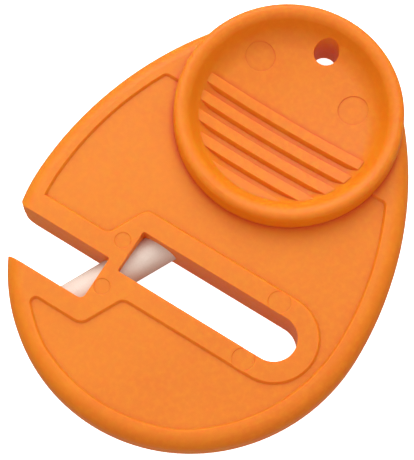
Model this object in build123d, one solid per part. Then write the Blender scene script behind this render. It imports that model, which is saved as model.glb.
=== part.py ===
"""Pocket scissors sharpener: two moulded half shells that hold a ceramic rod across a mouth and a slot.

Millimetres. The back face lies on z = 0 and the front face looks up. +X runs along the slot and
+Y runs up the body to the thumb disc. The origin is the middle of the outline, on the back face.
"""
from build123d import *
import os
from math import radians, tan

# overall
body_length = 87.6
body_width = 67.4
body_thickness = 9.4
back_shell_depth = 3.8

# outline: half an ellipse below its widest line, and two large arcs above it that run into the disc
widest_y = -9.0
front_edge_radius = 2.8
back_edge_radius = 3.5
parting_step = 0.1
lip_radius = 2.0

# thumb disc and its dish
disc_radius = 21.1
disc_height = 4.0
disc_draft = 2.5
rim_width = 2.34
rim_outer_radius = 1.1
rim_inner_radius = 2.0
dish_drop = 1.9
dish_floor_radius = 95.0
dish_wall_slope = 62.0
dish_foot_radius = 4.5

# grip ribs in the lower half of the dish
rib_count = 5
rib_pitch = 3.6
rib_width = 2.45
rib_slope_width = 0.6
rib_height = 0.8
rib_field_radius = 16.9
first_rib_drop = 0.2

# middle line of the ribs, the lanyard hole and the marks in the dish
grip_x = -0.7

# lanyard hole
hole_radius = 2.35
hole_from_top = 6.4

# slot, mouth and the neck between them
slot_width = 8.65
slot_middle_y = -14.15
slot_end_wall = 9.9
mouth_width = 9.05
mouth_middle_y = -21.75
mouth_depth = 20.6
neck_width = 2.45
sharp_corner_radius = 0.4
mouth_corner_radius = 1.1

# raised land round the openings, and the sunk panel round the land
land_width = 3.65
land_corner_radius = 2.0
panel_side_border = 3.75
panel_bottom_border = 3.4
panel_upper_radius = 61.5
panel_flank_margin = 3.05
panel_bottom_margin = 2.55
panel_top_y = 18.2
panel_corner_radius = 1.2
panel_depth = 0.5
panel_step_slope = 40.0

# shallow round marks that the ejector pins left
mark_depth = 0.12
dish_mark_radius = 2.8
dish_mark_half_gap = 10.0
dish_mark_rise = 7.7
land_mark_radius = 1.55
neck_mark_left = 2.25
neck_mark_rise = 0.95
mouth_mark_right = 1.7
mouth_mark_drop = 0.65
slot_mark_radius = 2.15
slot_mark_inset = 6.85
slot_mark_offset = 6.15

# ceramic rod
rod_diameter = 6.35
rod_length = 27.0
rod_angle = 63.5
rod_offset = 0.3
rod_end_chamfer = 0.4
rod_clearance = 0.06
seat_wall = 2.65

# inside of the shells
skin = 1.5
side_wall = 2.0
opening_wall = 1.6

# locating pins
pin_radius = 1.3
pin_reach = 2.0
pin_clearance = 0.1
socket_wall = 1.2
side_pin_inset = 13.7
side_pin_rise = 8.3
low_pin_half_gap = 12.5
low_pin_rise = 8.8
top_pin_half_gap = 10.5
top_pin_rise = 4.8

# derived
half_width = body_width / 2
bottom_y = -body_length / 2
disc_y = body_length / 2 - disc_radius
hole_y = body_length / 2 - hole_from_top
front_z = body_thickness
crest_z = front_z + disc_height
parting_z = back_shell_depth
dish_z = front_z - dish_drop
roof_z = front_z - panel_depth - skin
dish_roof_z = dish_z - skin
rise = disc_y - widest_y
upper_radius = (half_width**2 + rise**2 - disc_radius**2) / (2 * (half_width - disc_radius))
disc_top_radius = disc_radius - disc_height * tan(radians(disc_draft))
crest_radius = disc_top_radius - rim_width
panel_edge = half_width - panel_side_border
panel_flank_radius = panel_edge + panel_flank_margin
panel_bottom_radius = panel_edge + panel_bottom_margin
mouth_right_x = mouth_depth - half_width
slot_left_x = mouth_right_x + neck_width
slot_right_x = half_width - slot_end_wall
slot_top_y = slot_middle_y + slot_width / 2
mouth_bottom_y = mouth_middle_y - mouth_width / 2
rod_x = slot_left_x - neck_width / 2 + rod_offset
rod_y = (slot_top_y + mouth_bottom_y) / 2
seat_half_width = rod_diameter / 2 + seat_wall
far = body_length
on_base = (Align.CENTER, Align.CENTER, Align.MIN)


def strip(low, high):
    """Wide band of the plane between two heights."""
    return Pos(0, (low + high) / 2) * Rectangle(2 * far, high - low)


def lens(half, radius):
    """Space between two arcs that stand half apart from the middle at the widest line."""
    right = Pos(half - radius, widest_y) * Circle(radius)
    left = Pos(radius - half, widest_y) * Circle(radius)
    return right & left


def egg_face(inset=0):
    """Body outline, moved inwards by inset."""
    join_y = disc_y + (disc_radius - inset) * rise / (upper_radius - disc_radius)
    bowl = Pos(0, widest_y) * Ellipse(half_width - inset, widest_y - bottom_y - inset)
    egg = lens(half_width - inset, upper_radius - inset) & strip(widest_y, join_y)
    egg += bowl & strip(bottom_y, widest_y)
    return egg + Pos(0, disc_y) * Circle(disc_radius - inset)


def slot_face(grow=0):
    """Slot with a square left end and a round right end, widened by grow."""
    half = slot_width / 2 + grow
    left = slot_left_x - grow
    end_x = slot_right_x + grow - half
    slot = Pos((left + end_x) / 2, slot_middle_y) * Rectangle(end_x - left, 2 * half)
    slot = fillet(slot.vertices().group_by(Axis.X)[0], sharp_corner_radius + grow)
    return slot + Pos(end_x, slot_middle_y) * Circle(half)


def mouth_face(grow=0):
    """Mouth that opens through the left flank, widened by grow."""
    half = mouth_width / 2 + grow
    right = mouth_right_x + grow
    mouth = Pos((right - far) / 2, mouth_middle_y) * Rectangle(right + far, 2 * half)
    lower = mouth.vertices().group_by(Axis.X)[-1].sort_by(Axis.Y)[0]
    mouth = fillet(lower, mouth_corner_radius + grow)
    upper = mouth.vertices().group_by(Axis.Y)[-1].sort_by(Axis.X)[-1]
    return fillet(upper, sharp_corner_radius + grow)


def along_rod(x=0, y=0):
    """Place x along the rod and y to its left, from the middle of the rod."""
    return Pos(rod_x, rod_y) * Rot(0, 0, rod_angle) * Pos(x, y)


def land_face():
    """Raised land round the mouth, the neck and the slot, with its slants parallel to the rod."""
    low = mouth_bottom_y - land_width
    high = slot_top_y + land_width
    left_of_seat = along_rod(0, far - seat_half_width) * Rectangle(4 * far, 2 * far)
    right_of_seat = along_rod(0, seat_half_width - far) * Rectangle(4 * far, 2 * far)
    land = mouth_face(land_width) & left_of_seat
    land += slot_face(land_width) & right_of_seat
    land += (left_of_seat & right_of_seat) & strip(low, high)
    corners = land.vertices().filter_by_position(Axis.X, -half_width, 0)
    return fillet(corners, land_corner_radius)


def panel_face():
    """Sunk panel: a smaller egg without the land. Its top runs under the thumb disc."""
    low_y = bottom_y + panel_bottom_border + panel_bottom_radius
    bowl = Pos(0, low_y) * Circle(panel_bottom_radius)
    bowl &= lens(panel_edge, panel_flank_radius)
    panel = lens(panel_edge, panel_upper_radius) & strip(widest_y, panel_top_y)
    panel += bowl & strip(bottom_y, widest_y)
    panel = fillet(panel.vertices().group_by(Axis.Y)[-1], panel_corner_radius)
    panel -= land_face()
    tip = panel.vertices().sort_by_distance((-half_width, mouth_bottom_y - land_width))[0]
    return fillet(tip, panel_corner_radius)


def plan_face(inset=0):
    """Outline with the mouth, the slot and the lanyard hole cut out of it."""
    plan = egg_face(inset) - mouth_face(inset)
    lips = plan.vertices().filter_by_position(Axis.Y, mouth_middle_y, slot_middle_y)
    plan = fillet(lips.sort_by(Axis.X)[0], lip_radius)
    return plan - slot_face(inset) - Pos(grip_x, hole_y) * Circle(hole_radius)


def pin_spots():
    """Middles of the locating pins."""
    side = (half_width - side_pin_inset, slot_top_y + side_pin_rise)
    low = (low_pin_half_gap, bottom_y + low_pin_rise)
    top = (top_pin_half_gap, disc_y + top_pin_rise)
    return [Pos(sign * x, y) for x, y in (side, low, top) for sign in (-1, 1)]


def cavity_face(post_radius):
    """Hollow inside the walls, the rod's seat and the posts of the pins."""
    hollow = egg_face(side_wall) - mouth_face(opening_wall) - slot_face(opening_wall)
    hollow -= Pos(grip_x, hole_y) * Circle(hole_radius + opening_wall)
    hollow -= along_rod() * Rectangle(rod_length + 2 * seat_wall, 2 * seat_half_width)
    for spot in pin_spots():
        hollow -= spot * Circle(post_radius)
    return hollow


def rod(grow=0):
    """Ceramic rod, lying on the parting plane and grown by grow all round."""
    bar = Cylinder(rod_diameter / 2 + grow, rod_length + 2 * grow)
    bar = chamfer(bar.edges().filter_by(GeomType.CIRCLE), rod_end_chamfer)
    return Pos(0, 0, parting_z) * along_rod() * Rot(0, 90, 0) * bar


def thumb_disc():
    """Thumb disc with its dished top, turned about its own middle."""
    drop = crest_z - dish_roof_z
    run = 1 / tan(radians(dish_wall_slope))
    foot = crest_radius - drop * run
    section = Polygon(
        (0, parting_z),
        (disc_radius, parting_z),
        (disc_radius, front_z),
        (disc_top_radius, crest_z),
        (0, crest_z),
        align=None,
    )
    hollow = Polygon((0, dish_roof_z), (foot, dish_roof_z), (crest_radius, crest_z), (0, crest_z), align=None)
    section -= hollow & Pos(0, dish_z + dish_floor_radius) * Circle(dish_floor_radius)
    foot_corner = section.vertices().filter_by_position(Axis.X, 0, crest_radius, (False, False))
    section = fillet(foot_corner, dish_foot_radius)
    section = fillet(section.vertices().group_by(Axis.Y)[-1].sort_by(Axis.X)[-1], rim_outer_radius)
    section = fillet(section.vertices().group_by(Axis.Y)[-1].sort_by(Axis.X)[0], rim_inner_radius)
    return Pos(0, disc_y) * revolve(Plane.XZ * section, Axis.Z)


def ribs():
    """Grip ribs across the dish: an upright far side, a top that follows the dish and a sloped near side."""
    field = Pos(grip_x, disc_y, dish_roof_z) * Cylinder(rib_field_radius, disc_height, align=on_base)
    ball = Pos(0, disc_y, dish_z + dish_floor_radius) * Rot(90, 0, 0) * Sphere(dish_floor_radius - rib_height)
    bars = []
    for number in range(rib_count):
        far_y = disc_y - first_rib_drop - number * rib_pitch
        block = Box(2 * disc_radius, rib_width, crest_z - dish_roof_z - skin / 2, align=on_base)
        bar = Pos(0, far_y - rib_width / 2, dish_roof_z + skin / 2) * block - ball
        side = bar.faces().sort_by(Axis.Y)[0]
        edge = bar.edges().filter_by(GeomType.CIRCLE).sort_by(Axis.Y)[0]
        bar = chamfer(edge, rib_height, rib_slope_width, reference=side)
        bars.append(bar & field)
    return bars


def dish_marks():
    """Marks in the upper half of the dish, sunk to one depth below its floor and its foot."""
    lowered_disc = Pos(0, 0, -mark_depth) * thumb_disc()
    marks = []
    for sign in (-1, 1):
        spot = Pos(grip_x + sign * dish_mark_half_gap, disc_y + dish_mark_rise, dish_roof_z)
        marks.append(spot * Cylinder(dish_mark_radius, crest_z - dish_roof_z, align=on_base) - lowered_disc)
    return marks


def land_marks():
    """Marks on the land: one at each side of the neck and one at each side of the slot."""
    small = Cone(land_mark_radius - mark_depth, land_mark_radius + mark_depth, 2 * mark_depth)
    large = Cone(slot_mark_radius - mark_depth, slot_mark_radius + mark_depth, 2 * mark_depth)
    marks = [
        Pos(slot_left_x - neck_mark_left, slot_middle_y + neck_mark_rise, front_z) * small,
        Pos(mouth_right_x + mouth_mark_right, mouth_middle_y - mouth_mark_drop, front_z) * small,
    ]
    for sign in (-1, 1):
        y = slot_middle_y + sign * slot_mark_offset
        marks.append(Pos(slot_right_x - slot_mark_inset, y, front_z) * large)
    return marks


def front_shell():
    """Upper half: the domed border, the land, the panel, the thumb disc and the locating pins."""
    dome = extrude(Pos(0, 0, parting_z) * egg_face(), front_z - parting_z)
    dome = fillet(dome.faces().sort_by(Axis.Z)[-1].edges(), front_edge_radius)
    dome -= Pos(0, disc_y, parting_z) * Cylinder(crest_radius, front_z, align=on_base)
    panel = extrude(Pos(0, 0, front_z) * panel_face(), -panel_depth, taper=panel_step_slope)
    dome -= panel
    shell = dome + thumb_disc() + ribs() - dish_marks() - land_marks()
    outside = egg_face(-lip_radius) - plan_face()
    shell -= extrude(Pos(0, 0, parting_z) * outside, crest_z - parting_z)
    hollow = extrude(Pos(0, 0, parting_z) * cavity_face(pin_radius), roof_z - parting_z)
    hollow -= Pos(0, disc_y, dish_roof_z) * Cylinder(disc_radius, crest_z, align=on_base)
    shell -= hollow
    for spot in pin_spots():
        shell += Pos(0, 0, parting_z - pin_reach) * spot * Cylinder(pin_radius, 2 * pin_reach, align=on_base)
    return shell - rod(rod_clearance)


def back_shell():
    """Flat cover with the same openings, rounded round its back edge, and with a socket for each pin."""
    cover = extrude(egg_face(parting_step), parting_z)
    cover = fillet(cover.faces().sort_by(Axis.Z)[0].edges(), back_edge_radius)
    cover &= extrude(plan_face(parting_step), parting_z)
    post_radius = pin_radius + pin_clearance + socket_wall
    cover -= extrude(Pos(0, 0, skin) * cavity_face(post_radius), parting_z)
    socket = Cylinder(pin_radius + pin_clearance, parting_z, align=on_base)
    for spot in pin_spots():
        cover -= Pos(0, 0, parting_z - pin_reach - pin_clearance) * spot * socket
    return cover - rod(rod_clearance)


pieces = {
    "front_shell": front_shell(),
    "back_shell": back_shell(),
    "ceramic_rod": rod(),
}
os.makedirs("parts", exist_ok=True)
for name, piece in pieces.items():
    export_step(piece, f"parts/{name}.step")
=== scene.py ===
from math import cos, radians, sin

import bpy
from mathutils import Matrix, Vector

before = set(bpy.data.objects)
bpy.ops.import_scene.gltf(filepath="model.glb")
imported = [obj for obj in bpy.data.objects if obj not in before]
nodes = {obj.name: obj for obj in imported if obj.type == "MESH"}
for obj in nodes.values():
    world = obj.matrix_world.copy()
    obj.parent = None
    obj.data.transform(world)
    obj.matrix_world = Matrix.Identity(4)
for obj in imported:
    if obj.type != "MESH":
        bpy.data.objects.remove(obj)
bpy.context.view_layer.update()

scene = bpy.context.scene
mm = 0.001
print("frame loaded:", ", ".join(sorted(nodes)))


def putInScene(name, data):
    thing = bpy.data.objects.new(name, data)
    scene.collection.objects.link(thing)
    return thing


def fromAngles(azimuth, elevation):
    turn, lift = radians(azimuth), radians(elevation)
    return Vector((sin(turn) * cos(lift), -cos(turn) * cos(lift), sin(lift)))


def aimAt(thing, target, azimuth, elevation, distance):
    direction = fromAngles(azimuth, elevation)
    thing.location = target + distance * direction
    thing.rotation_euler = direction.to_track_quat("Z", "Y").to_euler()


# node helpers: every texture is measured in the object's own metres

def startMaterial(name):
    material = bpy.data.materials.new(name)
    material.use_nodes = True
    tree = material.node_tree
    place = tree.nodes.new("ShaderNodeTexCoord")
    return material, tree, tree.nodes["Principled BSDF"], place.outputs["Object"]


def noise(tree, place, size, detail=2, stretch=None):
    if stretch:
        mapping = tree.nodes.new("ShaderNodeMapping")
        mapping.inputs["Scale"].default_value = stretch
        mapping.inputs["Rotation"].default_value = (0, 0, radians(31))
        tree.links.new(place, mapping.inputs["Vector"])
        place = mapping.outputs["Vector"]
    cloud = tree.nodes.new("ShaderNodeTexNoise")
    cloud.inputs["Scale"].default_value = 1 / size
    cloud.inputs["Detail"].default_value = detail
    tree.links.new(place, cloud.inputs["Vector"])
    return cloud.outputs["Fac"]


def spread(tree, value, low, high, start=0.0, end=1.0):
    ramp = tree.nodes.new("ShaderNodeMapRange")
    ramp.inputs["From Min"].default_value = low
    ramp.inputs["From Max"].default_value = high
    ramp.inputs["To Min"].default_value = start
    ramp.inputs["To Max"].default_value = end
    tree.links.new(value, ramp.inputs["Value"])
    return ramp.outputs["Result"]


def blendColour(tree, amount, first, second):
    mix = tree.nodes.new("ShaderNodeMix")
    mix.data_type = "RGBA"
    tree.links.new(amount, mix.inputs["Factor"])
    for socket, colour in ((mix.inputs["A"], first), (mix.inputs["B"], second)):
        if isinstance(colour, tuple):
            socket.default_value = (*colour, 1)
        else:
            tree.links.new(colour, socket)
    return mix.outputs["Result"]


def edgeMask(tree, radius):  # 1 on outer and inner edges, 0 on open faces
    bevel = tree.nodes.new("ShaderNodeBevel")
    bevel.samples = 6
    bevel.inputs["Radius"].default_value = radius
    shape = tree.nodes.new("ShaderNodeNewGeometry")
    match = tree.nodes.new("ShaderNodeVectorMath")
    match.operation = "DOT_PRODUCT"
    tree.links.new(bevel.outputs["Normal"], match.inputs[0])
    tree.links.new(shape.outputs["Normal"], match.inputs[1])
    return bevel.outputs["Normal"], spread(tree, match.outputs["Value"], 0.995, 0.9)


def paintedShadeMask(tree, reach):  # painted shade: 1 deep in inner corners, 0 in the open
    shade = tree.nodes.new("ShaderNodeAmbientOcclusion")
    shade.samples = 8
    shade.only_local = True  # the floor and the other pieces don't count
    shade.inputs["Distance"].default_value = reach
    return spread(tree, shade.outputs["AO"], 0.97, 0.45)


def bump(tree, height, depth, normal):
    relief = tree.nodes.new("ShaderNodeBump")
    relief.inputs["Strength"].default_value = 1
    relief.inputs["Distance"].default_value = depth
    tree.links.new(height, relief.inputs["Height"])
    tree.links.new(normal, relief.inputs["Normal"])
    return relief.outputs["Normal"]


# moulded orange plastic

plasticLook = dict(
    colour=(0.53, 0.174, 0.003),
    deepColour=(0.50, 0.150, 0.002),
    paleColour=(0.58, 0.215, 0.008),
    wornColour=(0.66, 0.27, 0.03),
    # painted shade: a deeper red laid into inner corners and creases by an ambient-occlusion mask
    paintedShadeColour=(0.42, 0.045, 0.001),
    paintedShadeReach=1.3 * mm,  # how far from an inner corner the painted shade reaches
    paintedRedGlow=0.15,  # painted glow: a weak red light of its own, standing in for the light bright translucent plastic passes on
    roughness=(0.44, 0.58),
    flowSize=24 * mm,  # slow clouds where the melt flowed
    mottleSize=1.1 * mm,
    mottleShare=0.45,
    wornShare=0.30,
    scuffSize=2.2 * mm,
    scuffStretch=(1, 0.06, 1),
    scuffShine=0.06,  # how much smoother a scuff is than the grain
    grainSize=0.32 * mm,  # spark-eroded grain of the mould
    grainDepth=0.012 * mm,
    waveSize=9 * mm,
    waveDepth=0.05 * mm,
    edgeRadius=0.16 * mm,
    glow=0.8,  # light that travels under the skin
    glowDepth=2.2 * mm,
)


def mouldedPlastic(name, look):
    material, tree, shader, place = startMaterial(name)
    softNormal, edges = edgeMask(tree, look["edgeRadius"])
    flow = spread(tree, noise(tree, place, look["flowSize"], 3), 0.35, 0.65)
    mottle = noise(tree, place, look["mottleSize"], 3)
    grain = noise(tree, place, look["grainSize"], 2)
    scratch = noise(tree, place, look["scuffSize"], 3, look["scuffStretch"])
    scuffs = spread(tree, scratch, 0.62, 0.72)
    colour = blendColour(tree, flow, look["colour"], look["deepColour"])
    pale = spread(tree, mottle, 0.42, 0.75, 0, look["mottleShare"])
    worn = spread(tree, edges, 0, 1, 0, look["wornShare"])
    colour = blendColour(tree, pale, colour, look["paleColour"])
    colour = blendColour(tree, worn, colour, look["wornColour"])
    # painted shade: colour darkened and reddened in inner corners, where shade falls
    paintedShadeAmount = paintedShadeMask(tree, look["paintedShadeReach"])
    colour = blendColour(tree, paintedShadeAmount, colour, look["paintedShadeColour"])
    tree.links.new(colour, shader.inputs["Base Color"])
    low, high = look["roughness"]
    rough = spread(tree, mottle, 0.3, 0.7, low, high)
    polish = tree.nodes.new("ShaderNodeMath")
    polish.operation = "MULTIPLY_ADD"
    polish.inputs[1].default_value = -look["scuffShine"]
    tree.links.new(scuffs, polish.inputs[0])
    tree.links.new(rough, polish.inputs[2])
    tree.links.new(polish.outputs["Value"], shader.inputs["Roughness"])
    normal = bump(tree, noise(tree, place, look["waveSize"], 1), look["waveDepth"], softNormal)
    normal = bump(tree, grain, look["grainDepth"], normal)
    tree.links.new(normal, shader.inputs["Normal"])
    shader.inputs["IOR"].default_value = 1.46
    shader.inputs["Specular IOR Level"].default_value = 0.28
    # painted glow: a red emission that makes the plastic shine in its shaded parts, though it is no
    # lamp
    shader.inputs["Emission Color"].default_value = (1, 0.03, 0, 1)
    shader.inputs["Emission Strength"].default_value = look["paintedRedGlow"]
    shader.inputs["Subsurface Weight"].default_value = look["glow"]
    shader.inputs["Subsurface Radius"].default_value = (1.0, 0.12, 0.02)
    shader.inputs["Subsurface Scale"].default_value = look["glowDepth"]
    return material


# fired ceramic of the rod

ceramicLook = dict(
    colour=(0.62, 0.52, 0.45),
    speckColour=(0.54, 0.44, 0.36),
    roughness=(0.55, 0.72),
    grainSize=0.22 * mm,
    grainDepth=0.006 * mm,
    grainShare=0.6,
    cloudSize=3 * mm,
    cloudShare=0.3,
    edgeRadius=0.1 * mm,
)


def firedCeramic(name, look):
    material, tree, shader, place = startMaterial(name)
    softNormal = edgeMask(tree, look["edgeRadius"])[0]
    cloud = noise(tree, place, look["cloudSize"], 3)
    grain = noise(tree, place, look["grainSize"], 2)
    specks = spread(tree, grain, 0.45, 0.8, 0, look["grainShare"])
    clouds = spread(tree, cloud, 0.4, 0.7, 0, look["cloudShare"])
    colour = blendColour(tree, specks, look["colour"], look["speckColour"])
    colour = blendColour(tree, clouds, colour, look["speckColour"])
    tree.links.new(colour, shader.inputs["Base Color"])
    low, high = look["roughness"]
    tree.links.new(spread(tree, grain, 0.3, 0.7, low, high), shader.inputs["Roughness"])
    tree.links.new(bump(tree, grain, look["grainDepth"], softNormal), shader.inputs["Normal"])
    return material


def dress(nodeName, material):
    for slot in nodes[nodeName].material_slots:
        slot.material = material


dress("front_shell", mouldedPlastic("front_plastic", plasticLook))
dress("back_shell", mouldedPlastic("back_plastic", plasticLook | dict(mottleSize=1.3 * mm)))
dress("ceramic_rod", firedCeramic("rod_ceramic", ceramicLook))
print("materials set on", len(nodes), "pieces")


# floor

floorLook = dict(halfSide=1500 * mm, gap=0.02 * mm, colour=(0.86, 0.86, 0.86), glow=1.0)


def makeFloor(look):
    half = look["halfSide"]
    mesh = bpy.data.meshes.new("floor")
    corners = [(-half, -half, 0), (half, -half, 0), (half, half, 0), (-half, half, 0)]
    mesh.from_pydata(corners, [], [(0, 1, 2, 3)])
    material, tree, shader = startMaterial("floor_paper")[:3]
    shader.inputs["Base Color"].default_value = (*look["colour"], 1)
    shader.inputs["Roughness"].default_value = 0.9
    shader.inputs["Emission Color"].default_value = (1, 1, 1, 1)
    shader.inputs["Emission Strength"].default_value = look["glow"]
    side = tree.nodes.new("ShaderNodeNewGeometry")
    clear = tree.nodes.new("ShaderNodeBsdfTransparent")
    mix = tree.nodes.new("ShaderNodeMixShader")  # nothing is hidden from below
    tree.links.new(side.outputs["Backfacing"], mix.inputs["Fac"])
    tree.links.new(shader.outputs["BSDF"], mix.inputs[1])
    tree.links.new(clear.outputs["BSDF"], mix.inputs[2])
    tree.links.new(mix.outputs["Shader"], tree.nodes["Material Output"].inputs["Surface"])
    mesh.materials.append(material)
    floor = putInScene("floor", mesh)
    floor.location.z = -look["gap"]
    floor.visible_glossy = False
    floor.visible_diffuse = False


makeFloor(floorLook)
print("floor laid")


# camera

cameraLook = dict(
    azimuth=32.13,
    elevation=73.45,
    distance=360 * mm,
    lens=173.9,
    lookAt=(-1.11, -3.53, 9.37),  # in millimetres
)


def makeCamera(look):
    data = bpy.data.cameras.new("camera")
    data.lens = look["lens"]
    data.sensor_width = 36
    data.sensor_fit = "HORIZONTAL"
    data.clip_start = 10 * mm
    camera = putInScene("camera", data)
    aimAt(camera, mm * Vector(look["lookAt"]), look["azimuth"], look["elevation"], look["distance"])
    scene.camera = camera


makeCamera(cameraLook)


# studio light

lightLooks = {
    "keySoftbox": dict(azimuth=-140, elevation=48, distance=1.0, size=0.9, power=10.0),
    "fillPanel": dict(azimuth=40, elevation=70, distance=1.2, size=1.2, power=3.0),
}
skyLook = dict(above=0.80, below=0.38)


def makeLights(looks, target):
    for name, look in looks.items():
        data = bpy.data.lights.new(name, "AREA")
        data.shape = "DISK"
        data.size = look["size"]
        data.energy = look["power"]
        aimAt(putInScene(name, data), target, look["azimuth"], look["elevation"], look["distance"])


def makeSky(look):
    world = bpy.data.worlds.new("studio")
    scene.world = world
    world.use_nodes = True
    tree = world.node_tree
    place = tree.nodes.new("ShaderNodeTexCoord")
    split = tree.nodes.new("ShaderNodeSeparateXYZ")
    tree.links.new(place.outputs["Generated"], split.inputs["Vector"])
    level = spread(tree, split.outputs["Z"], -0.3, 0.3, look["below"], look["above"])
    path = tree.nodes.new("ShaderNodeLightPath")
    backdrop = tree.nodes.new("ShaderNodeMath")  # the bare backdrop shows as plain white
    backdrop.operation = "MAXIMUM"
    tree.links.new(level, backdrop.inputs[0])
    tree.links.new(path.outputs["Is Camera Ray"], backdrop.inputs[1])
    glow = tree.nodes["Background"]
    glow.inputs["Color"].default_value = (1, 1, 1, 1)
    tree.links.new(backdrop.outputs["Value"], glow.inputs["Strength"])


makeLights(lightLooks, Vector((0, 0, 5 * mm)))
makeSky(skyLook)
scene.view_settings.view_transform = "Standard"
print("camera and lights placed")
